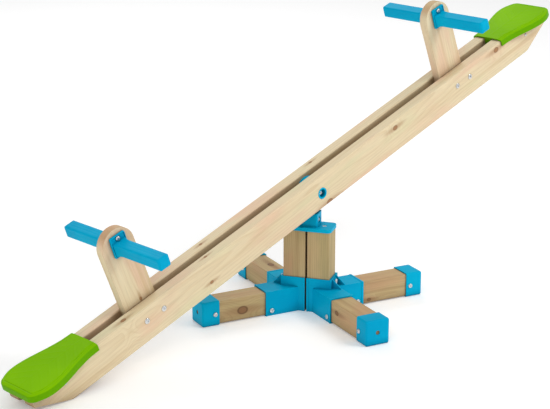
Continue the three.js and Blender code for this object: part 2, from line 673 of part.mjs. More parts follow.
// green shell over both rails: top, skirt and a tongue down into the gap between the rails
function seat(end) {
  const outer = slab(seatOutline(end, 0, SEAT_INNER), SKIRT_BOTTOM, SEAT_TOP);
  const hollow = slab(
    seatOutline(end, SEAT_WALL, SEAT_INNER - OVERCUT), SKIRT_BOTTOM - OVERCUT, RAIL_TOP + GAP);
  const tongueX = [end * SEAT_INNER, end * (SEAT_INNER + SEAT_TONGUE.length)].sort((a, b) => a - b);
  const tongue = box(tongueX, [-RAIL_INNER + GAP, RAIL_INNER - GAP], [SEAT_TONGUE.bottom, SEAT_TOP - 1]);
  return join(cut(outer, hollow), tongue);
}

function buildBeam() {
  const beam = new THREE.Group();
  beam.position.z = PIVOT_HEIGHT;
  beam.rotation.y = -BEAM_TILT;
  group.add(beam);
  for (const [name, side] of [['near', -1], ['far', 1]]) {
    add(beam, `rail_${name}`, rail(side), PINE);
    add(beam, `pivot_bush_${name}`, pivotBush(side), BLUE);
  }
  add(beam, 'pivot_bolt', pivotBolt(), ZINC);
  const nutSeat = at(0, RAIL_OUTER - BUSH.recessDepth + GAP, 0);
  const pivotNut = hexNut(nutSeat, Y, PIVOT_NUT.flats, PIVOT_NUT.height, PIVOT_BOLT.radius + HOLE_PLAY);
  add(beam, 'pivot_nut', pivotNut, ZINC);
  for (const [name, end] of [['low', -1], ['high', 1]]) {
    add(beam, `handle_board_${name}`, handleBoard(end), PINE);
    add(beam, `grip_${name}_near`, grip(end, -1), BLUE);
    add(beam, `grip_${name}_far`, grip(end, 1), BLUE);
    const { height, head, dome, recessDepth, spare } = GRIP_BOLT;
    const boltX = end * HANDLE_STATION + GRIP_SHIFT;
    const flangeSeat = BOARD_THICKNESS / 2 + GAP + FLANGE.thickness - recessDepth + GAP;
    const bolt = domedScrew(
      at(boltX, -flangeSeat, height), Y.clone().negate(), head, dome, BOLT_RADIUS, 2 * flangeSeat + spare);
    add(beam, `grip_bolt_${name}`, bolt, ZINC);
    const gripNut = hexNut(
      at(boltX, flangeSeat, height), Y, GRIP_NUT.flats, GRIP_NUT.height, BOLT_RADIUS + HOLE_PLAY);
    add(beam, `grip_nut_${name}`, gripNut, ZINC);
    for (const [place, x] of clampBoltPlaces(end).entries()) {
      add(beam, `clamp_bolt_${name}_${place + 1}`, clampBolt(x), ZINC);
      add(beam, `clamp_nut_${name}_${place + 1}`, clampNut(x), ZINC);
    }
    add(beam, `seat_${name}`, seat(end), GREEN);
  }
}

buildBase();
add(group, 'swivel_head', swivelHead(), BLUE);
buildBeam();

export default group;
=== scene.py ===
import math

import bmesh
import bpy
from mathutils import Matrix, Vector


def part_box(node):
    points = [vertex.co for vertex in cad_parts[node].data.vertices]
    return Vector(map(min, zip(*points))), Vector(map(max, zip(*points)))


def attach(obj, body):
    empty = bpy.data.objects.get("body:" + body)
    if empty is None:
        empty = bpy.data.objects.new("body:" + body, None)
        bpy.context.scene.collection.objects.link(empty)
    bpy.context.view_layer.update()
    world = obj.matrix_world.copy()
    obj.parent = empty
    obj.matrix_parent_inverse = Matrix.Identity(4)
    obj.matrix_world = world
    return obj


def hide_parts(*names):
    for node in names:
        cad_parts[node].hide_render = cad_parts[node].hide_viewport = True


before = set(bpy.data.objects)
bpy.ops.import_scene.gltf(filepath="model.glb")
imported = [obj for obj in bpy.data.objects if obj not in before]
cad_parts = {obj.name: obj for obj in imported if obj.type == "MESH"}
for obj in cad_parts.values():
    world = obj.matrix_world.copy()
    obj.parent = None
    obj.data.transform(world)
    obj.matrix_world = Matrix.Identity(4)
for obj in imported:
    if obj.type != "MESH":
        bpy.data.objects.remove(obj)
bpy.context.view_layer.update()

# Swivelling garden seesaw. Lengths are in millimetres in this script and become metres in the meshes.
MM = 0.001
GAP = 0.3

# ---------------------------------------------------------------- driving dimensions
BEAM_TILT = math.radians(19.25)
BASE_TURN = math.radians(-61.6)
PIVOT_HEIGHT = (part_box("pivot_bolt")[0].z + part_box("pivot_bolt")[1].z) / 2 / MM

RAIL_THICKNESS = 40
RAIL_HEIGHT = 100
RAIL_SPACING = 27
PIVOT_ABOVE_EDGE = 46
RAIL_OUTER = RAIL_SPACING / 2 + RAIL_THICKNESS
RAIL_MIDDLE = RAIL_HEIGHT / 2 - PIVOT_ABOVE_EDGE

POST = 70
POST_CENTRE = 37.5
TIMBER_FLOOR = 3.5
SLEEVE = {"width": 77, "bolt_along": 108, "bolt_height": 16}
CAP = {
    "reach": 339, "length": 56, "half": 39, "height": 77.5, "wall": 3, "bore": 35.3, "hole": 6.5,
    "round": 6,
}
CAP_SCREW = {"inset": 14, "height": 36}
CHANNEL_SCREW = {"seat": 46.3, "height": 93}
HOUSING = {"half": 31, "recess": 6, "bolt_height": 284, "bolt_past": 30.5}
PLATE_SCREW = {"along": 47, "height": 265.7}

HANDLE_STATION = 687
BOARD = {"shift": -6, "lean": math.radians(-2.4)}
CLAMP = {"half_pitch": 32, "height": 15}
GRIP = {
    "shift": -14, "seat": 13.5, "top": 280, "bottom": 217, "width": 52, "plate": 8, "tip": 204,
    "bolt": 269, "pocket": 3,
}
BAR = {"half_width": 19, "half_height": 18, "middle": 242, "flare": 22, "flare_top": 262}
BUSH = {"flange": 17.5, "barrel": 11, "recess": 12.5, "depth": 12, "flange_depth": 15, "bore": 6.1}

SEAT = {"inner": 892, "length": 246, "top": 60, "wall": 4, "round": 5, "corner": 16, "skirt": 38}
SEAT_SCREW = {"along": 1018, "height": 14}
# half the seat's width at distances from its inner end
SEAT_PLAN = [
    (0, 58.5), (36, 60.5), (80, 70), (125, 83), (151, 89), (176, 92), (200, 90), (224, 80), (246, 66),
]

# head radius, dome height, shank radius and, where nothing else sets it, length of each screw and bolt
SLEEVE_BOLT_SIZE = (7.5, 4.5, 3, 8)
CAP_SCREW_SIZE = (7, 4, 2.6, 24)
CHANNEL_SCREW_SIZE = (8, 5.5, 2.6, 34)
CLAMP_BOLT_SIZE = (8.5, 3.5, 4, 110.8)
SEAT_SCREW_SIZE = (4.6, 2.6, 2, 6)
CROSS_BOLT_SIZE = (7.5, 5, 4)
GRIP_BOLT_SIZE = (7, 5, 4)
PIVOT_BOLT_SIZE = (8.5, 5.5, 6)
# width across flats, height and bore radius of each nut
CROSS_NUT_SIZE = (13, 5, 4.1)
GRIP_NUT_SIZE = (13, 6.5, 4.1)
PIVOT_NUT_SIZE = (19, 7, 6.1)
CLAMP_NUT_SIZE = (8.5, 6.2)  # radius and height

# ---------------------------------------------------------------- places
X = Vector((1, 0, 0))


def turn(angle, axis):
    return Matrix.Rotation(angle, 4, axis)


def shift(x, y, z):
    return Matrix.Translation((x, y, z))


BEAM = shift(0, 0, PIVOT_HEIGHT) @ turn(-BEAM_TILT, "Y")
BASE = turn(BASE_TURN, "Z")
HALVES = {
    "right": BASE @ shift(POST_CENTRE, 0, 0),
    "left": BASE @ shift(-POST_CENTRE, 0, 0) @ turn(math.pi, "Z"),
}
ARMS = {
    "rear_right": (HALVES["right"] @ turn(math.radians(45), "Z"), -1),
    "front_right": (HALVES["right"] @ turn(math.radians(-45), "Z"), -1),
    "front_left": (HALVES["left"] @ turn(math.radians(45), "Z"), 1),
    "rear_left": (HALVES["left"] @ turn(math.radians(-45), "Z"), 1),
}
ENDS = {"low": -1, "high": 1}


def aim(origin, direction):
    """A frame whose Z runs along the direction from the origin."""
    return Matrix.Translation(origin) @ Vector(direction).to_track_quat("Z", "Y").to_matrix().to_4x4()


# ---------------------------------------------------------------- camera, light and floor
def camera():
    azimuth, elevation = math.radians(-44.03), math.radians(17.10)
    distance, aside, above = 4.9355, -0.1045, 0.3145
    back = Vector((math.sin(azimuth) * math.cos(elevation), -math.cos(azimuth) * math.cos(elevation),
                   math.sin(elevation)))
    right = Vector((math.cos(azimuth), math.sin(azimuth), 0))
    up = back.cross(right)
    data = bpy.data.cameras.new("camera")
    data.sensor_width = 36
    data.lens = 105.15
    seen = bpy.data.objects.new("camera", data)
    seen.matrix_world = Matrix.Translation(back * distance + right * aside + up * above) @ Matrix(
        (right, up, back)).transposed().to_4x4()
    bpy.context.scene.collection.objects.link(seen)
    bpy.context.scene.camera = seen


def area_light(name, place, target, size, power):
    data = bpy.data.lights.new(name, "AREA")
    data.shape = "DISK"
    data.size = size
    data.energy = power
    light = bpy.data.objects.new(name, data)
    light.location = place
    light.rotation_euler = (Vector(place) - Vector(target)).to_track_quat("Z", "Y").to_euler()
    bpy.context.scene.collection.objects.link(light)


def studio():
    world = bpy.data.worlds.new("studio")
    bpy.context.scene.world = world
    world.use_nodes = True
    background = world.node_tree.nodes["Background"]
    background.inputs["Color"].default_value = (1.0, 1.0, 1.0, 1)
    background.inputs["Strength"].default_value = 0.55
    area_light("key", (2.4, -3.9, 4.8), (0, 0, 0.35), 3.0, 150)
    area_light("fill", (-4.4, -1.8, 3.6), (0, 0, 0.35), 3.5, 62)
    area_light("back", (2.5, 4.5, 4.0), (0, 0, 0.35), 3.0, 70)
    view = bpy.context.scene.view_settings
    view.view_transform = "Standard"
    view.look = "None"

    floor = bpy.data.meshes.new("floor")
    half = 25.0
    corners = [(-half, -half, 0), (half, -half, 0), (half, half, 0), (-half, half, 0)]
    floor.from_pydata(corners, [], [(0, 1, 2, 3)])
    floor_object = bpy.data.objects.new("floor", floor)
    bpy.context.scene.collection.objects.link(floor_object)
    material, _, surface = shader("floor_paint")
    surface.inputs["Base Color"].default_value = (0.93, 0.93, 0.93, 1)
    surface.inputs["Roughness"].default_value = 0.9
    surface.inputs["Emission Color"].default_value = (1, 1, 1, 1)
    surface.inputs["Emission Strength"].default_value = 0.18
    floor.materials.append(material)


# ---------------------------------------------------------------- shader helpers
def shader(name):
    material = bpy.data.materials.new(name)
    material.use_nodes = True
    tree = material.node_tree
    return material, tree, tree.nodes["Principled BSDF"]


def put(tree, kind, inputs=None, **settings):
    """Adds a node. An input is a number, a colour, a vector or another node's output."""
    node = tree.nodes.new("ShaderNode" + kind)
    for name, value in settings.items():
        setattr(node, name, value)
    for name, value in (inputs or {}).items():
        if isinstance(value, bpy.types.NodeSocket):
            tree.links.new(value, node.inputs[name])
        else:
            node.inputs[name].default_value = value
    return node


def calc(tree, operation, first, second=0.0, third=0.0):
    return put(tree, "Math", {0: first, 1: second, 2: third}, operation=operation).outputs[0]


def stretched(tree, vector, factors):
    return put(tree, "VectorMath", {0: vector, 1: factors}, operation="MULTIPLY").outputs[0]


def moved(tree, vector, offset, operation="ADD"):
    return put(tree, "VectorMath", {0: vector, 1: offset}, operation=operation).outputs[0]


def dot(tree, first, second):
    return put(tree, "VectorMath", {0: first, 1: second}, operation="DOT_PRODUCT").outputs["Value"]


def length(tree, vector):
    return put(tree, "VectorMath", {0: vector}, operation="LENGTH").outputs["Value"]


def noise(tree, vector, scale=1.0, detail=2.0, roughness=0.5):
    inputs = {"Vector": vector, "Scale": scale, "Detail": detail, "Roughness": roughness}
    return put(tree, "TexNoise", inputs).outputs["Fac"]


def span(tree, value, low, high, to_low=0.0, to_high=1.0):
    """Maps low..high to to_low..to_high, held at the ends."""
    inputs = {"Value": value, "From Min": low, "From Max": high, "To Min": to_low, "To Max": to_high}
    return put(tree, "MapRange", inputs, interpolation_type="SMOOTHSTEP").outputs[0]


def blend(tree, factor, first, second, mode="MIX"):
    node = put(tree, "Mix", data_type="RGBA", blend_type=mode)
    for index, value in ((0, factor), (6, first), (7, second)):
        if isinstance(value, bpy.types.NodeSocket):
            tree.links.new(value, node.inputs[index])
        else:
            node.inputs[index].default_value = value
    return node.outputs[2]


def ramp(tree, factor, stops):
    node = put(tree, "ValToRGB", {"Fac": factor})
    while len(node.color_ramp.elements) < len(stops):
        node.color_ramp.elements.new(0.5)
    for element, (position, colour) in zip(node.color_ramp.elements, stops):
        element.position = position
        element.color = colour
    return node.outputs["Color"]


def grey(value):
    return (value, value, value, 1)


def colour(red, green, blue):
    """A colour from its 0..255 screen values."""
    def linear(value):
        value /= 255
        return value / 12.92 if value <= 0.04045 else ((value + 0.055) / 1.055) ** 2.4
    return (linear(red), linear(green), linear(blue), 1)


def edge_mask(tree, radius):
    """1 on the sharp edges of a piece and 0 on its flats."""
    soft = put(tree, "Bevel", {"Radius": radius}, samples=6).outputs["Normal"]
    hard = put(tree, "NewGeometry").outputs["Normal"]
    return span(tree, dot(tree, soft, hard), 0.995, 0.86)


def crease_shade_mask(tree, reach):
    """A mask for painted shade: 1 deep in a crease or a gap and 0 on an open face."""
    open_share = put(tree, "AmbientOcclusion", {"Distance": reach}, samples=8).outputs["AO"]
    return span(tree, open_share, 0.85, 0.25)


def bump(tree, surface, height, strength, distance):
    inputs = {"Height": height, "Strength": strength, "Distance": distance}
    tree.links.new(put(tree, "Bump", inputs).outputs["Normal"], surface.inputs["Normal"])


# ---------------------------------------------------------------- materials
def plastic(name, main, deep, pale, shade, shaded_side_colour=None):
    """Moulded plastic: fine skin, faint flow marks, scuffs, slightly bleached edges and painted shade in
    creases.
    Walls that stand square to the beam's top are darkened towards the shaded side colour as painted shade,
    if one is given."""
    material, tree, surface = shader(name)
    place = put(tree, "TexCoord").outputs["Object"]
    flow = noise(tree, stretched(tree, place, (5, 5, 9)), 1.0, 3.0)
    skin = noise(tree, place, 900.0, 2.0)
    scuffs = noise(tree, stretched(tree, place, (260, 60, 190)), 1.0, 4.0, 0.65)
    scuffed = span(tree, scuffs, 0.62, 0.74)
    edges = edge_mask(tree, 0.0022)
    wear = span(tree, noise(tree, place, 35.0, 3.0), 0.3, 0.7, 0.25, 1)
    worn = calc(tree, "MULTIPLY", edges, wear)
    body = blend(tree, span(tree, flow, 0.3, 0.7), deep, main)
    # painted shade: walls square to the beam's top darken towards the shaded side colour
    if shaded_side_colour:
        facing = dot(tree, put(tree, "TexCoord").outputs["Normal"], BEAM.to_3x3().col[2])
        body = blend(tree, span(tree, facing, 0.95, 0.45), body, shaded_side_colour)
    body = blend(tree, calc(tree, "MULTIPLY", scuffed, 0.22), body, pale)
    body = blend(tree, calc(tree, "MULTIPLY", worn, 0.25), body, pale)
    # painted shade: creases and gaps are darkened towards the shade colour
    body = blend(tree, calc(tree, "MULTIPLY", crease_shade_mask(tree, 0.045), 0.75), body, shade)
    tree.links.new(body, surface.inputs["Base Color"])
    rough = calc(tree, "MULTIPLY_ADD", skin, 0.10, 0.33)
    rough = calc(tree, "MULTIPLY_ADD", scuffed, 0.14, rough)
    tree.links.new(rough, surface.inputs["Roughness"])
    height = calc(tree, "MULTIPLY_ADD", scuffs, 0.4, skin)
    bump(tree, surface, height, 0.18, 0.0002)
    surface.inputs["Specular IOR Level"].default_value = 0.03
    return material


def zinc(name):
    """Zinc-plated steel, slightly mottled."""
    material, tree, surface = shader(name)
    place = put(tree, "TexCoord").outputs["Object"]
    mottle = noise(tree, place, 260.0, 4.0, 0.6)
    fine = noise(tree, place, 2500.0, 2.0)
    tree.links.new(ramp(tree, mottle, [(0.3, colour(186, 190, 194)), (0.7, colour(236, 237, 236))]),
                   surface.inputs["Base Color"])
    tree.links.new(span(tree, mottle, 0.3, 0.75, 0.38, 0.22), surface.inputs["Roughness"])
    bump(tree, surface, calc(tree, "ADD", mottle, fine), 0.1, 0.0001)
    surface.inputs["Metallic"].default_value = 0.95
    return material


def nylon(name):
    material, tree, surface = shader(name)
    place = put(tree, "TexCoord").outputs["Object"]
    cloud = noise(tree, place, 120.0, 3.0)
    tree.links.new(ramp(tree, cloud, [(0.3, colour(214, 212, 202)), (0.7, colour(236, 234, 226))]),
                   surface.inputs["Base Color"])
    tree.links.new(span(tree, cloud, 0.3, 0.7, 0.42, 0.58), surface.inputs["Roughness"])
    bump(tree, surface, cloud, 0.1, 0.0002)
    return material


# each tint's shade is the colour of painted shade in creases and gaps
BEAM_TINT = {
    "early": colour(230, 212, 176), "late": colour(202, 172, 126), "warm": colour(230, 192, 162),
    "green": colour(218, 212, 170), "knot": colour(168, 122, 82), "bark": colour(122, 84, 54),
    "shade": colour(128, 96, 58), "rings": 0.32,
}
BASE_TINT = {
    "early": colour(196, 172, 126), "late": colour(156, 124, 80), "warm": colour(194, 152, 114),
    "green": colour(166, 154, 104), "knot": colour(142, 102, 66), "bark": colour(84, 56, 36),
    "shade": colour(104, 78, 46), "rings": 0.34,
}


def wood(name, place_frame, tint, pith, knots=(), seed=0.0, spacing=5.5, lean=(0.0, 0.012, 0.02)):
    """Planed pine. The frame's X runs along the grain. The pith is the (across, up) place of the tree's
    middle. A knot is (along, across, up, radius, axis), with the axis that it runs along."""
    material, tree, surface = shader(name)
    coordinates = put(tree, "TexCoord")
    location, rotation, _ = place_frame.decompose()
    grain = put(tree, "Mapping", {
        "Vector": coordinates.outputs["Object"], "Location": location * MM, "Rotation": rotation.to_euler(),
    }, vector_type="TEXTURE").outputs[0]
    shifted = moved(tree, grain, (seed, seed * 0.37, seed * 0.61))

    # normalised distance to the nearest knot, and to the stain that it leaves along the grain
    near, stain = 10.0, 10.0
    for along, across, up, radius, axis in knots:
        offset = moved(tree, grain, (along * MM, across * MM, up * MM), "SUBTRACT")
        unit = 1 / (radius * MM)
        keep = (unit * 0.72, 0 if axis == "across" else unit, 0 if axis == "up" else unit)
        reach = length(tree, stretched(tree, offset, keep))
        near = calc(tree, "MINIMUM", reach, near)
        keep = (keep[0] * 0.14, keep[1] * 0.55, keep[2] * 0.55)
        reach = length(tree, stretched(tree, offset, keep))
        stain = calc(tree, "MINIMUM", reach, stain)

    # growth rings round a pith that leans a little to the timber
    leaning = put(tree, "Mapping", {"Vector": grain, "Rotation": lean}, vector_type="POINT").outputs[0]
    from_pith = moved(tree, leaning, (0, pith[0] * MM, pith[1] * MM), "SUBTRACT")
    ring_radius = length(tree, stretched(tree, from_pith, (0, 1, 1)))
    drift = noise(tree, stretched(tree, shifted, (2.2, 9, 9)), 1.0, 2.0)
    rings = calc(tree, "MULTIPLY", ring_radius, 1 / (spacing * MM))
    rings = calc(tree, "MULTIPLY_ADD", drift, 5.0, rings)
    if knots:
        rings = calc(tree, "MULTIPLY_ADD", span(tree, near, 0.6, 4.5, 1, 0), 2.6, rings)
    year = calc(tree, "FRACT", rings)
    late = ramp(tree, year, [
        (0.0, grey(0.1)), (0.45, grey(0.12)), (0.8, grey(0.75)), (0.93, grey(1)), (1.0, grey(0.1)),
    ])

    fibres = noise(tree, stretched(tree, shifted, (14, 620, 620)), 1.0, 3.0, 0.6)
    streaks = noise(tree, stretched(tree, shifted, (1.4, 48, 48)), 1.0, 3.0, 0.55)
    patches = noise(tree, stretched(tree, shifted, (3.1, 13, 13)), 1.0, 2.0)

    body = blend(tree, calc(tree, "MULTIPLY", late, tint["rings"]), tint["early"], tint["late"])
    body = blend(tree, span(tree, patches, 0.5, 0.68, 0, 0.7), body, tint["warm"])
    body = blend(tree, span(tree, patches, 0.46, 0.28, 0, 0.5), body, tint["green"])
    body = blend(tree, span(tree, streaks, 0.5, 0.74, 0, 0.45), body, tint["late"])
    body = blend(tree, 0.75, body, ramp(tree, fibres, [(0.25, grey(0.82)), (0.55, grey(1.0))]), "MULTIPLY")
    if knots:
        body = blend(tree, span(tree, stain, 1.0, 0.2, 0, 0.55), body, tint["knot"])
        knot_rings = calc(tree, "MULTIPLY", near, 4.2)
        knot_rings = calc(tree, "FRACT", calc(tree, "MULTIPLY_ADD", drift, 3.0, knot_rings))
        heart = blend(tree, calc(tree, "MULTIPLY", knot_rings, 0.4), tint["knot"], tint["bark"])
        heart = blend(tree, span(tree, near, 0.66, 0.9, 0, 0.75), heart, tint["bark"])
        body = blend(tree, span(tree, near, 1.25, 0.9, 0, 0.9), body, heart)

    # end grain takes the light less, handled edges are darker, and creases and gaps get painted shade
    facing = dot(tree, coordinates.outputs["Normal"], rotation @ X)
    end_grain = span(tree, calc(tree, "ABSOLUTE", facing), 0.45, 0.95)
    body = blend(tree, calc(tree, "MULTIPLY", end_grain, 0.55), body, tint["late"], "MULTIPLY")
    handled = calc(tree, "MULTIPLY", edge_mask(tree, 0.003), span(tree, streaks, 0.35, 0.6, 0.2, 0.8))
    body = blend(tree, calc(tree, "MULTIPLY", handled, 0.35), body, tint["late"])
    body = blend(tree, calc(tree, "MULTIPLY", crease_shade_mask(tree, 0.06), 0.8), body, tint["shade"])
    tree.links.new(body, surface.inputs["Base Color"])

    rough = calc(tree, "MULTIPLY_ADD", fibres, 0.25, 0.52)
    tree.links.new(calc(tree, "MULTIPLY_ADD", late, -0.08, rough), surface.inputs["Roughness"])
    height = calc(tree, "MULTIPLY_ADD", late, 0.35, fibres)
    bump(tree, surface, height, 0.3, 0.0004)
    surface.inputs["Specular IOR Level"].default_value = 0.3
    return material


BLUE = plastic("blue_moulding", colour(0, 174, 213), colour(0, 160, 202), colour(20, 204, 236),
               colour(0, 96, 128))
# the green moulding's last colour is painted shade for the seats' side walls
GREEN = plastic("green_moulding", colour(132, 194, 0), colour(123, 185, 0), colour(152, 210, 14),
                colour(62, 104, 0), colour(100, 164, 0))
ZINC = zinc("zinc_plate")
NYLON = nylon("white_nylon")


# ---------------------------------------------------------------- mesh helpers
def smooth_by_angle(mesh, limit=math.radians(32)):
    """Smooth shading, with the edges sharper than the limit kept crisp."""
    form = bmesh.new()
    form.from_mesh(mesh)
    for face in form.faces:
        face.smooth = True
    for edge in form.edges:
        edge.smooth = len(edge.link_faces) == 2 and edge.calc_face_angle(0) < limit
    form.to_mesh(mesh)
    form.free()


def piece(name, form, material, slot, body, *nodes):
    """Makes an object of a bmesh in millimetres, which rides on a body and stands for CAD nodes."""
    bmesh.ops.recalc_face_normals(form, faces=form.faces)
    bmesh.ops.scale(form, vec=(MM, MM, MM), verts=form.verts)
    mesh = bpy.data.meshes.new(name)
    form.to_mesh(mesh)
    form.free()
    smooth_by_angle(mesh)
    mesh.materials.append(material)
    made = bpy.data.objects.new(name, mesh)
    bpy.context.scene.collection.objects.link(made)
    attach(made, body)
    if nodes:
        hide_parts(*nodes)
    return made


def loft(form, rings, place, closed=False):
    """Skins rings with equal numbers of points. A loft that isn't closed gets a face at each end."""
    loops = [[form.verts.new(place @ Vector(point)) for point in ring] for ring in rings]
    pairs = list(zip(loops, loops[1:]))
    if closed:
        pairs.append((loops[-1], loops[0]))
    else:
        form.faces.new(loops[0][::-1])
        form.faces.new(loops[-1])
    for lower, upper in pairs:
        for index, point in enumerate(lower):
            after = (index + 1) % len(lower)
            form.faces.new((point, lower[after], upper[after], upper[index]))


def circle(radius, height, count=32):
    steps = [math.tau * index / count for index in range(count)]
    return [(radius * math.cos(step), radius * math.sin(step), height) for step in steps]


def hexagon(flats, height, count=32):
    """A six-sided ring made of rays from its middle."""
    points = []
    for index in range(count):
        angle = math.tau * index / count
        off_flat = angle % (math.pi / 3) - math.pi / 6
        reach = flats / 2 / math.cos(off_flat)
        points.append((reach * math.cos(angle), reach * math.sin(angle), height))
    return points


# ---------------------------------------------------------------- fasteners
def domed_head(form, place, radius, height, shank, length, socket=0.42):
    """Domed screw head with a hexagonal socket, on a plain shank along -Z."""
    socket_radius = radius * socket
    rings = [circle(shank * 0.7, -length), circle(shank, -length + shank * 0.4), circle(shank, 0)]
    rings += [circle(radius * 0.96, 0), circle(radius, height * 0.12), circle(radius, height * 0.25)]
    for step in range(1, 6):
        angle = math.radians(74) * step / 5
        reach = radius * math.cos(angle) * 0.98 + radius * 0.02
        rings.append(circle(reach, height * (0.25 + 0.75 * math.sin(angle))))
    rim = height * 0.99
    rings += [circle(socket_radius * 1.12, rim), circle(socket_radius, rim - 0.3)]
    rings += [hexagon(socket_radius * 1.7, rim - 0.6), hexagon(socket_radius * 1.7, rim - height * 0.5)]
    loft(form, rings, place)


def cap_nut(form, place, radius, height):
    """Domed cap nut with a flange, closed at the top."""
    rings = [circle(radius * 0.55, 0), circle(radius * 0.97, 0), circle(radius, 0.4), circle(radius, 1.4)]
    for step in range(1, 8):
        angle = math.radians(88) * step / 7
        rings.append(circle(radius * 0.97 * math.cos(angle), 1.4 + (height - 1.4) * math.sin(angle)))
    loft(form, rings, place)


def hex_nut(form, place, flats, height, bore):
    """Six-sided nut with chamfered corners and a bore."""
    crown = flats * 0.5
    rings = [circle(bore, 0.5), circle(bore + 0.5, 0), circle(crown * 0.98, 0), hexagon(flats, 0.9)]
    rings += [hexagon(flats, height - 0.9), circle(crown * 0.98, height), circle(bore + 0.5, height)]
    rings += [circle(bore, height - 0.5)]
    loft(form, rings, place, closed=True)


def metal(name, form, body, *nodes):
    piece(name, form, ZINC, "zinc_steel", body, *nodes)


def screw(name, places, size, body, *nodes):
    """One piece made of a domed screw at each place; the size is (head, dome, shank, length)."""
    form = bmesh.new()
    head, dome, shank, reach = size
    for place in places:
        domed_head(form, place, head, dome, shank, reach)
    metal(name, form, body, *nodes)


def nut(name, place, size, body, node):
    form = bmesh.new()
    hex_nut(form, place, *size)
    metal(name, form, body, node)


def base_fasteners():
    for name, (arm, side) in ARMS.items():
        seat = SLEEVE["width"] / 2 + GAP
        places = [arm @ aim((SLEEVE["bolt_along"], way * seat, SLEEVE["bolt_height"]), (0, way, 0))
                  for way in (-1, 1)]
        screw(f"sleeve_bolt_{name}_heads", places, SLEEVE_BOLT_SIZE, "base", f"sleeve_bolt_{name}")
        along = CAP["reach"] - CAP["length"] + CAP_SCREW["inset"]
        place = arm @ aim((along, side * (CAP["half"] + GAP), CAP_SCREW["height"]), (0, side, 0))
        screw(f"cap_screw_{name}_domed", [place], CAP_SCREW_SIZE, "base", f"cap_screw_{name}")
    for name, half in HALVES.items():
        place = half @ aim((CHANNEL_SCREW["seat"] + GAP, 0, CHANNEL_SCREW["height"]), (1, 0, 0))
        screw(f"bracket_screw_{name}_domed", [place], CHANNEL_SCREW_SIZE, "base", f"bracket_screw_{name}")
        plate_screw(name, half)
    cross = HOUSING["half"] - HOUSING["recess"] + GAP
    place = BASE @ aim((cross, 0, HOUSING["bolt_height"]), (1, 0, 0))
    size = (*CROSS_BOLT_SIZE, cross + HOUSING["bolt_past"])
    screw("spindle_cross_bolt_domed", [place], size, "base", "spindle_cross_bolt")
    place = BASE @ aim((-cross, 0, HOUSING["bolt_height"]), (-1, 0, 0))
    nut("spindle_cross_nut_hex", place, CROSS_NUT_SIZE, "base", "spindle_cross_nut")


def plate_screw(name, half):
    """Countersunk screw, flush with the pivot bracket's plate."""
    form = bmesh.new()
    rings = [circle(1.2, -48), circle(2.6, -44), circle(2.6, -5), circle(6.4, -0.6), circle(6.5, -0.1)]
    rings += [circle(6.2, 0), circle(3.0, 0), circle(2.8, -0.2), hexagon(4.4, -0.3), hexagon(4.2, -2.4)]
    loft(form, rings, half @ shift(PLATE_SCREW["along"] - POST_CENTRE, 0, PLATE_SCREW["height"]))
    metal(f"plate_screw_{name}_sunk", form, "base", f"plate_screw_{name}")


def beam_fasteners():
    for name, end in ENDS.items():
        clamp_fasteners(name, end)
        along = end * HANDLE_STATION + GRIP["shift"]
        seat = GRIP["seat"] + GRIP["plate"] - GRIP["pocket"] + GAP
        size = (*GRIP_BOLT_SIZE, 2 * seat + 5)
        place = BEAM @ aim((along, -seat, GRIP["bolt"]), (0, -1, 0))
        screw(f"grip_bolt_{name}_domed", [place], size, "beam", f"grip_bolt_{name}")
        place = BEAM @ aim((along, seat, GRIP["bolt"]), (0, 1, 0))
        nut(f"grip_nut_{name}_hex", place, GRIP_NUT_SIZE, "beam", f"grip_nut_{name}")
        for way, word in ((-1, "near"), (1, "far")):
            origin = (end * SEAT_SCREW["along"], way * (RAIL_OUTER + GAP), SEAT_SCREW["height"])
            place = BEAM @ aim(origin, (0, way, 0))
            screw(f"seat_screw_{name}_{word}", [place], SEAT_SCREW_SIZE, "beam")
    seat = RAIL_OUTER - BUSH["depth"] + GAP
    size = (*PIVOT_BOLT_SIZE, 2 * seat + 9)
    screw("pivot_bolt_domed", [BEAM @ aim((0, -seat, 0), (0, -1, 0))], size, "beam", "pivot_bolt")
    nut("pivot_nut_hex", BEAM @ aim((0, seat, 0), (0, 1, 0)), PIVOT_NUT_SIZE, "beam", "pivot_nut")


def clamp_fasteners(name, end):
    seat = RAIL_OUTER + GAP
    for number, step in ((1, -1), (2, 1)):
        along = end * HANDLE_STATION + step * CLAMP["half_pitch"]
        node = f"clamp_bolt_{name}_{number}"
        place = BEAM @ aim((along, -seat, CLAMP["height"]), (0, -1, 0))
        screw(f"{node}_domed", [place], CLAMP_BOLT_SIZE, "beam", node)
        node = f"clamp_nut_{name}_{number}"
        form = bmesh.new()
        cap_nut(form, BEAM @ aim((along, seat, CLAMP["height"]), (0, 1, 0)), *CLAMP_NUT_SIZE)
        metal(f"{node}_domed", form, "beam", node)


def bushes():
    face = RAIL_OUTER
    inside = RAIL_SPACING / 2 + GAP
    flange, barrel, recess, bore = BUSH["flange"], BUSH["barrel"], BUSH["recess"], BUSH["bore"]
    root, floor = face - BUSH["flange_depth"], face - BUSH["depth"]
    outline = [
        (bore, inside), (barrel - 0.4, inside), (barrel, inside + 0.5), (barrel, root), (flange, root),
        (flange, face), (flange - 0.3, face + 0.7), (flange - 1.2, face + 1.2),
        (recess + 0.8, face + 1.2), (recess + 0.2, face + 0.9), (recess, face + 0.2),
        (recess - 0.3, floor), (bore, floor),
    ]
    rings = [circle(radius, height, 48) for radius, height in outline]
    for way, word in ((-1, "near"), (1, "far")):
        form = bmesh.new()
        loft(form, rings, BEAM @ aim((0, 0, 0), (0, way, 0)), closed=True)
        piece(f"pivot_bush_{word}_turned", form, BLUE, "blue_plastic", "beam", f"pivot_bush_{word}")


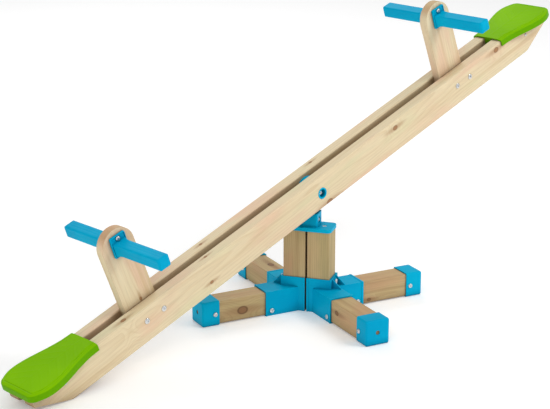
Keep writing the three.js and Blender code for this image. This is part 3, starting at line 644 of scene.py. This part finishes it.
# ---------------------------------------------------------------- end caps
def soft_rectangle(along, half_y, low, high, radius, corner_points=6, side_points=3):
    """A ring in a plane of constant X: a rectangle with rounded corners, from its +Y side round again."""
    ring = []
    middle = (low + high) / 2
    half_z = (high - low) / 2
    corners = [(1, 1, 0), (-1, 1, 90), (-1, -1, 180), (1, -1, 270)]
    for number, (side, up, start) in enumerate(corners):
        centre = Vector((side * (half_y - radius), middle + up * (half_z - radius)))
        arc = []
        for index in range(corner_points):
            angle = math.radians(start + 90 * index / (corner_points - 1))
            arc.append(centre + radius * Vector((math.cos(angle), math.sin(angle))))
        ring += arc
        after_side, after_up, after_start = corners[(number + 1) % 4]
        after_centre = Vector((after_side * (half_y - radius), middle + after_up * (half_z - radius)))
        angle = math.radians(after_start)
        target = after_centre + radius * Vector((math.cos(angle), math.sin(angle)))
        for index in range(1, side_points + 1):
            ring.append(arc[-1].lerp(target, index / (side_points + 1)))
    return [(along, point.x, point.y) for point in ring]


def round_in(along, radius, middle, pattern):
    """A circle in a plane of constant X whose points lie on the rays of the pattern ring."""
    ring = []
    for _, across, up in pattern:
        ray = Vector((across, up - middle)).normalized() * radius
        ring.append((along, ray.x, middle + ray.y))
    return ring


def end_caps():
    half, height, radius = CAP["half"], CAP["height"], CAP["round"]
    inner, outer = CAP["reach"] - CAP["length"], CAP["reach"]
    middle = TIMBER_FLOOR + POST / 2
    floor = TIMBER_FLOOR - GAP
    rings = [soft_rectangle(inner, half - 0.6, 0.6, height - 0.6, radius - 1)]
    rings.append(soft_rectangle(inner + 0.7, half, 0, height, radius - 0.5))
    rings.append(soft_rectangle(inner + 20, half, 0, height, radius))
    for step in range(7):
        angle = math.radians(15 * step)
        inset = radius * (1 - math.cos(angle))
        along = outer - radius + radius * math.sin(angle)
        corner = max(radius - inset * 0.5, 1)
        rings.append(soft_rectangle(along, half - inset, inset, height - inset, corner))
    face = rings[-1]
    rings.append(soft_rectangle(outer, half - 16, 16, height - 16, 8))
    rings.append(round_in(outer, CAP["hole"] + 0.9, middle, face))
    rings.append(round_in(outer - 0.8, CAP["hole"], middle, face))
    rings.append(round_in(outer - CAP["wall"], CAP["hole"], middle, face))
    bore = CAP["bore"]
    rings.append(soft_rectangle(outer - CAP["wall"], bore - 14, floor + 14, floor + 2 * bore - 14, 8))
    rings.append(soft_rectangle(outer - CAP["wall"], bore, floor, floor + 2 * bore, 2))
    rings.append(soft_rectangle(inner + 0.6, bore, floor, floor + 2 * bore, 2))
    rings.append(soft_rectangle(inner, bore + 0.5, floor - 0.5, floor + 2 * bore + 0.5, 2.4))
    for name, (arm, _) in ARMS.items():
        form = bmesh.new()
        loft(form, rings, arm, closed=True)
        piece(f"end_cap_{name}_moulded", form, BLUE, "blue_plastic", "base", f"end_cap_{name}")


# ---------------------------------------------------------------- grips
def ray_ring(height, reach, count=96):
    """A ring of rays about the bar's middle: local Z away from the board, local Y up along it."""
    points = []
    for index in range(count):
        angle = math.tau * index / count
        radius = reach(angle)
        points.append((radius * math.cos(angle), radius * math.sin(angle), height))
    return points


def block_reach(side, up, down, softness):
    """Distance from the bar's middle to a rectangle about it; the softness is the power of its corners."""
    def reach(angle):
        to_side = side / max(abs(math.cos(angle)), 1e-6)
        to_end = (up if math.sin(angle) > 0 else down) / max(abs(math.sin(angle)), 1e-6)
        return (to_side ** -softness + to_end ** -softness) ** (-1 / softness)
    return reach


def plate_reach(inset):
    up = GRIP["top"] - BAR["middle"] - inset
    down = BAR["middle"] - GRIP["bottom"] - inset
    return block_reach(GRIP["width"] / 2 - inset, up, down, 20)


def flare_reach(share):
    """The bar's outline, at a share of the way from the tip end of the flare to the flange."""
    def mix(bar, root):
        return bar + (root - bar) * share
    side = mix(BAR["half_width"], GRIP["width"] / 2 - 2.2)
    up = mix(BAR["half_height"], BAR["flare_top"] - BAR["middle"])
    down = mix(BAR["half_height"], BAR["middle"] - GRIP["bottom"] - 2.2)
    return block_reach(side, up, down, 9)


def bar_reach(inset=0.0, groove=0.0):
    """The bar's outline pulled in by the inset, with two fine grooves along each side."""
    plain = block_reach(BAR["half_width"] - inset, BAR["half_height"] - inset, BAR["half_height"] - inset, 9)

    def reach(angle):
        quarter = math.degrees(angle) % 90 - 45
        return plain(angle) - groove * crest(abs(quarter) - 31, 2.4)
    return reach


def inside_both(first, second):
    """The outline that lies within two outlines."""
    def reach(angle):
        return min(first(angle), second(angle))
    return reach


def crest(distance, width):
    return math.exp(-(distance / width) ** 2)


def grips():
    plate, tip = GRIP["plate"], GRIP["tip"] - GRIP["seat"]
    rim, tray = 2.4, plate - 2.4
    rings = [ray_ring(GAP, plate_reach(6)), ray_ring(GAP, plate_reach(0.7))]
    rings.append(ray_ring(GAP + 0.7, plate_reach(0)))
    rings += [ray_ring(plate - 0.8, plate_reach(0)), ray_ring(plate - 0.2, plate_reach(0.3))]
    rings += [ray_ring(plate, plate_reach(0.9)), ray_ring(plate, plate_reach(rim - 0.5))]
    rings += [ray_ring(plate - 0.4, plate_reach(rim)), ray_ring(tray + 0.4, plate_reach(rim + 0.2))]
    root = plate_reach(rim + 0.7)
    rings.append(ray_ring(tray, root))
    for step in range(13):
        height = tray + (BAR["flare"] + plate - tray) * step / 12
        share = (1 - step / 12) ** 1.7
        flare = flare_reach(share)
        rings.append(ray_ring(height, inside_both(flare, root) if height < plate else flare))
    start = plate + BAR["flare"] + 4
    long_part = [start + (tip - 12 - start) * step / 8 for step in range(9)]
    rings += [ray_ring(start - 2, bar_reach())]
    rings += [ray_ring(height, bar_reach(groove=0.4)) for height in long_part]
    rings += [ray_ring(tip - 10, bar_reach()), ray_ring(tip - 4, bar_reach())]
    rings.append(ray_ring(tip - 3.6, bar_reach(0.15)))
    rings += [ray_ring(tip - 0.5, bar_reach(3.2)), ray_ring(tip, bar_reach(4.2))]
    rings += [ray_ring(tip, bar_reach(9)), ray_ring(tip, bar_reach(14))]
    for name, end in ENDS.items():
        along = end * HANDLE_STATION + GRIP["shift"]
        for side, word in ((-1, "near"), (1, "far")):
            upright = BEAM @ Matrix((
                (-side, 0, 0, along), (0, 0, side, side * GRIP["seat"]), (0, 1, 0, BAR["middle"]),
                (0, 0, 0, 1),
            ))
            form = bmesh.new()
            loft(form, rings, upright)
            node = f"grip_{name}_{word}"
            made = piece(f"{node}_moulded", form, BLUE, "blue_plastic", "beam", node)
            bolt_pocket(made, upright)


def bolt_pocket(made, upright):
    """A round pocket in the foot of the flare that gives the bolt's head room."""
    form = bmesh.new()
    lift, floor = GRIP["bolt"] - BAR["middle"], GRIP["plate"] - GRIP["pocket"]
    rings = [circle(8.2, floor, 40), circle(8.6, floor + 0.4, 40), circle(9.4, floor + 30, 40)]
    loft(form, rings, upright @ shift(0, lift, 0))
    bmesh.ops.recalc_face_normals(form, faces=form.faces)
    bmesh.ops.scale(form, vec=(MM, MM, MM), verts=form.verts)
    mesh = bpy.data.meshes.new("pocket")
    form.to_mesh(mesh)
    form.free()
    tool = bpy.data.objects.new("pocket", mesh)
    bpy.context.scene.collection.objects.link(tool)
    cut = made.modifiers.new("pocket", "BOOLEAN")
    cut.operation = "DIFFERENCE"
    cut.solver = "EXACT"
    cut.object = tool
    bpy.context.view_layer.update()
    carved = bpy.data.meshes.new_from_object(made.evaluated_get(bpy.context.evaluated_depsgraph_get()))
    made.modifiers.clear()
    made.data = carved
    bpy.data.objects.remove(tool)
    smooth_by_angle(carved)


# ---------------------------------------------------------------- seats
def along_curve(points, x):
    """Smooth curve through the points, flat beyond its ends."""
    if x <= points[0][0]:
        return points[0][1]
    for index in range(len(points) - 1):
        (x0, y0), (x1, y1) = points[index], points[index + 1]
        if x <= x1:
            before = points[max(index - 1, 0)]
            after = points[min(index + 2, len(points) - 1)]
            slope0 = (y1 - before[1]) / (x1 - before[0])
            slope1 = (after[1] - y0) / (after[0] - x0)
            t, width = (x - x0) / (x1 - x0), x1 - x0
            return ((2 * t ** 3 - 3 * t ** 2 + 1) * y0 + (t ** 3 - 2 * t ** 2 + t) * width * slope0
                    + (3 * t ** 2 - 2 * t ** 3) * y1 + (t ** 3 - t ** 2) * width * slope1)
    return points[-1][1]


def seat_half_width(x, inset):
    """Half the width of the seat's plan at a distance from its inner end, pulled in by the inset."""
    tip, corner = SEAT["length"] - inset, SEAT["corner"] - inset
    half = along_curve(SEAT_PLAN, x) - inset
    into_corner = x - (tip - corner)
    if into_corner > 0:
        half -= corner - math.sqrt(max(corner ** 2 - into_corner ** 2, 0))
    return half


def seat_height(x, y, half):
    """Top surface: a field with faint ribs from a middle line, a groove round it and a sloping border."""
    crown = 0.4
    slope_drop, slope_width = 2.2, 6.5
    groove_depth, groove_place, groove_width = 1.9, 7.5, 1.5
    rib_pitch, rib_slant, rib_phase = 30, 0.75, 10
    across = abs(y) / max(half, 1)
    border = min(half - abs(y), SEAT["length"] - SEAT["round"] - x)
    height = SEAT["top"] - crown / 2 + crown * (1 - across ** 2)
    height -= slope_drop * (1 - min(max(border / slope_width, 0), 1))
    height -= groove_depth * crest(border - groove_place, groove_width)
    field = min(max((border - 12) / 5, 0), 1) * min(max((x - 10) / 8, 0), 1)
    slanted = (x - rib_slant * abs(y) + rib_phase) % rib_pitch - rib_pitch / 2
    return height + field * max(0.55 * crest(y, 1.8), 0.5 * crest(slanted, 1.7))


def seat_stations(inset):
    tip, corner = SEAT["length"] - inset, SEAT["corner"] - inset
    count = 96
    straight = [(tip - corner) * index / count for index in range(count)]
    return straight + [tip - corner + corner * math.sin(math.radians(7.5 * step)) for step in range(13)]


def seats():
    inset, columns = SEAT["round"], 64
    for name, end in ENDS.items():
        form = bmesh.new()

        def vertex(x, y, z):
            return form.verts.new(BEAM @ Vector((end * (SEAT["inner"] + x), y, z)))

        grid = []
        for x in seat_stations(inset):
            half = seat_half_width(x, inset)
            row = [half * (2 * column / columns - 1) for column in range(columns + 1)]
            grid.append([(x, y, seat_height(x, y, half)) for y in row])
        verts = [[vertex(*point) for point in row] for row in grid]
        for row, after in zip(verts, verts[1:]):
            for column in range(columns):
                form.faces.new((row[column], row[column + 1], after[column + 1], after[column]))

        # skirt: from the inner end along one side, round the tip and back
        rim_points = [row[0] for row in grid] + grid[-1][1:-1] + [row[-1] for row in reversed(grid)]
        rim_verts = [row[0] for row in verts] + verts[-1][1:-1] + [row[-1] for row in reversed(verts)]
        outward = []
        for index, (x, y, _) in enumerate(rim_points):
            before = rim_points[max(index - 1, 0)]
            after = rim_points[min(index + 1, len(rim_points) - 1)]
            tangent = Vector((after[0] - before[0], after[1] - before[1]))
            outward.append(Vector((-tangent.y, tangent.x)).normalized())
        if outward[0].y > 0:
            outward = [-way for way in outward]
        loops = [rim_verts]
        for step in range(1, 6):
            angle = math.radians(18 * step)
            reach, drop = inset * math.sin(angle), inset * (1 - math.cos(angle))
            loops.append([vertex(x + way.x * reach, y + way.y * reach, z - drop)
                          for (x, y, z), way in zip(rim_points, outward)])
        for share in (0.15, 0.4, 0.7, 0.92, 1.0):
            loop = []
            for (x, y, z), way in zip(rim_points, outward):
                top = z - inset
                bottom = SEAT["skirt"]
                reach = inset + 0.6 * share
                loop.append(vertex(x + way.x * reach, y + way.y * reach, top + (bottom - top) * share))
            loops.append(loop)
        for upper, lower in zip(loops, loops[1:]):
            for index in range(len(upper) - 1):
                form.faces.new((upper[index], upper[index + 1], lower[index + 1], lower[index]))

        bmesh.ops.recalc_face_normals(form, faces=form.faces)
        if sum(face.normal.z * face.calc_area() for face in form.faces) < 0:
            bmesh.ops.reverse_faces(form, faces=form.faces)
        shell_wall(form, SEAT["wall"])
        tongue_half = RAIL_SPACING / 2 - GAP
        tongue = [(tongue_half, 34), (tongue_half, 57), (-tongue_half, 57), (-tongue_half, 34)]
        rings = [[(end * (SEAT["inner"] + x), y, z) for y, z in tongue] for x in (0.4, 5)]
        loft(form, rings, BEAM)
        made = piece(f"seat_{name}_moulded", form, GREEN, "green_plastic", "beam", f"seat_{name}")
        soften(made, 0.8, 2, math.radians(50))


def shell_wall(form, thickness):
    """Gives an open skin a wall on its inner side and closes the wall's edge."""
    outer = list(form.faces)
    form.normal_update()
    inner_of = {}
    for vert in list(form.verts):
        inner_of[vert] = form.verts.new(vert.co - vert.normal * thickness)
    for face in outer:
        form.faces.new([inner_of[vert] for vert in reversed(face.verts)])
    for edge in [edge for edge in form.edges if len(edge.link_faces) == 1 and edge.verts[0] in inner_of]:
        first, second = edge.link_loops[0].vert, edge.link_loops[0].link_loop_next.vert
        form.faces.new((second, first, inner_of[first], inner_of[second]))


# ---------------------------------------------------------------- carried-over CAD nodes
def soften(made, width, segments=2, limit=math.radians(35)):
    """Rounds the edges of an object that are sharper than the limit."""
    edge = made.modifiers.new("edge", "BEVEL")
    edge.width = width * MM
    edge.segments = segments
    edge.limit_method = "ANGLE"
    edge.angle_limit = limit
    edge.harden_normals = False
    normals = made.modifiers.new("normals", "WEIGHTED_NORMAL")
    normals.keep_sharp = True


def carry(node, material, width=None, segments=2):
    """A CAD node keeps its shape and gets its material and softened edges."""
    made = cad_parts[node]
    made.data.materials.clear()
    made.data.materials.append(material)
    if width:
        weld = made.modifiers.new("weld", "WELD")
        weld.merge_threshold = 0.00002
        planar = made.modifiers.new("planar", "DECIMATE")
        planar.decimate_type = "DISSOLVE"
        planar.angle_limit = math.radians(0.5)
        soften(made, width, segments)
    for polygon in made.data.polygons:
        polygon.use_smooth = True


def timber():
    upward = turn(-math.pi / 2, "Y")  # X of the new frame points up
    near = BEAM @ shift(0, -(RAIL_SPACING + RAIL_THICKNESS) / 2, RAIL_MIDDLE)
    far = BEAM @ shift(0, (RAIL_SPACING + RAIL_THICKNESS) / 2, RAIL_MIDDLE)
    near_knots = [
        (349, 0, 27, 7, "across"), (864, 0, 33, 8, "across"), (-476, 0, -17, 4.5, "across"),
        (20, 0, -46, 9, "across"), (-780, -4, 50, 6, "up"), (-455, 4, 50, 4, "up"),
    ]
    far_knots = [
        (59, 3, 50, 4, "up"), (-415, 0, 50, 4, "up"), (520, 0, 10, 8, "across"), (-650, 0, -14, 9, "across"),
    ]
    carry("rail_near", wood("pine_rail_near", near, BEAM_TINT, (-95, 30), near_knots, 1.3), 1.2)
    carry("rail_far", wood("pine_rail_far", far, BEAM_TINT, (70, -62), far_knots, 7.9), 1.2)
    board_knots = {"low": [(60, 0, -5, 4, "across")], "high": []}
    for name, end in ENDS.items():
        station = shift(end * HANDLE_STATION + BOARD["shift"], 0, 0)
        board = BEAM @ station @ turn(BOARD["lean"], "Y") @ upward
        pine = wood(f"pine_board_{name}", board, BEAM_TINT, (55 * end, 22), board_knots[name],
                    seed=11.0 + 3 * end, spacing=6.0)
        carry(f"handle_board_{name}", pine, 2.2, 3)
    for name, half in HALVES.items():
        pine = wood(f"pine_post_{name}", half @ upward, BASE_TINT, (12, -70),
                    seed=23.0 + half.translation.x * 0.1)
        carry(f"post_{name}", pine, 1.0)
    feet_knots = {
        "front_left": [(205, 0, 33, 12, "across")],
        "front_right": [(160, 0, 44, 7, "across")],
        "rear_right": [(150, 0, 14, 5, "across")],
        "rear_left": [(190, -6, 70, 9, "up")],
    }
    for number, (name, (arm, _)) in enumerate(ARMS.items()):
        pine = wood(f"pine_foot_{name}", arm, BASE_TINT, (-62 + 40 * number, 18), feet_knots[name],
                    seed=31.0 + 5.7 * number)
        carry(f"foot_beam_{name}", pine, 1.2)


def mouldings():
    carry("bracket_right", BLUE, 1.4, 3)
    carry("bracket_left", BLUE, 1.4, 3)
    carry("pivot_bracket", BLUE, 1.6, 3)
    carry("swivel_head", BLUE, 1.2, 3)
    carry("thrust_washer", NYLON)
    carry("swivel_spindle", ZINC)
    carry("spindle_lock_nut", ZINC)


# ---------------------------------------------------------------- build
camera()
studio()
timber()
mouldings()
base_fasteners()
beam_fasteners()
bushes()
end_caps()
grips()
seats()
